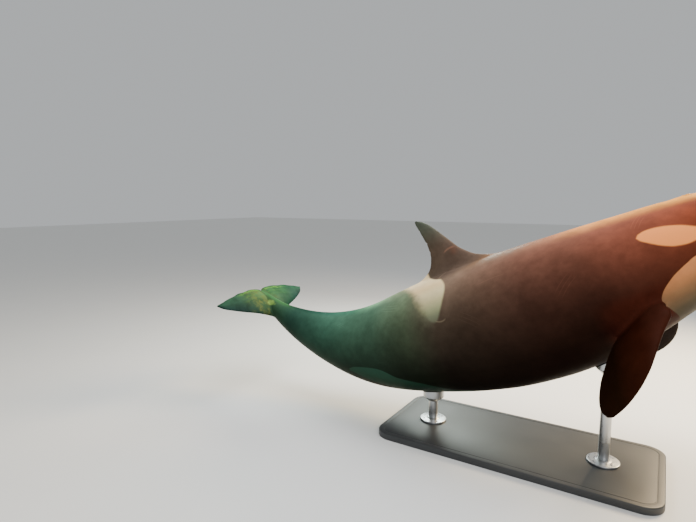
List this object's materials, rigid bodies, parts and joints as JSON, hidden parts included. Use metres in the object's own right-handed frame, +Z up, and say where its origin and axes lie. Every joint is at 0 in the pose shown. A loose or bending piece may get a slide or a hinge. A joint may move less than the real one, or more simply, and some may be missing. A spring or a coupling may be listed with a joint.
{
  "type": "orca model on a display stand",
  "caption": "Life-size still model of an orca swimming nose up with flippers spread and tail raised, held by two rods on a flat base.",
  "frame": {"origin": "centre of the stand base's flat underside, on the floor", "axes": "+X towards the animal's nose along the base's length, +Y to the animal's left, +Z up"},
  "size_m": [5.1079, 2.0573, 2.3827],
  "materials": {
    "black_skin": "smooth wet-looking skin, near black with a warm brown cast",
    "white_skin": "smooth wet-looking skin, cream white",
    "eye": "polished dark brown eye",
    "base_lacquer": "satin dark grey lacquer",
    "steel": "brushed"
  },
  "bodies": {
    "root": {"head": "black_skin", "lower_jaw": "white_skin", "eye_left": "eye", "eye_right": "eye", "chest": "black_skin", "torso": "black_skin", "waist": "black_skin", "tail_stock": "black_skin", "dorsal_fin": "black_skin", "flipper_left": "black_skin", "flipper_right": "black_skin", "fluke_left": "black_skin", "fluke_right": "black_skin", "stand_base": "base_lacquer", "stand_foot_front": "steel", "stand_foot_rear": "steel", "stand_rod_front": "steel", "stand_rod_rear": "steel", "stand_cup_front": "steel", "stand_cup_rear": "steel"}
  },
  "joints": []
}
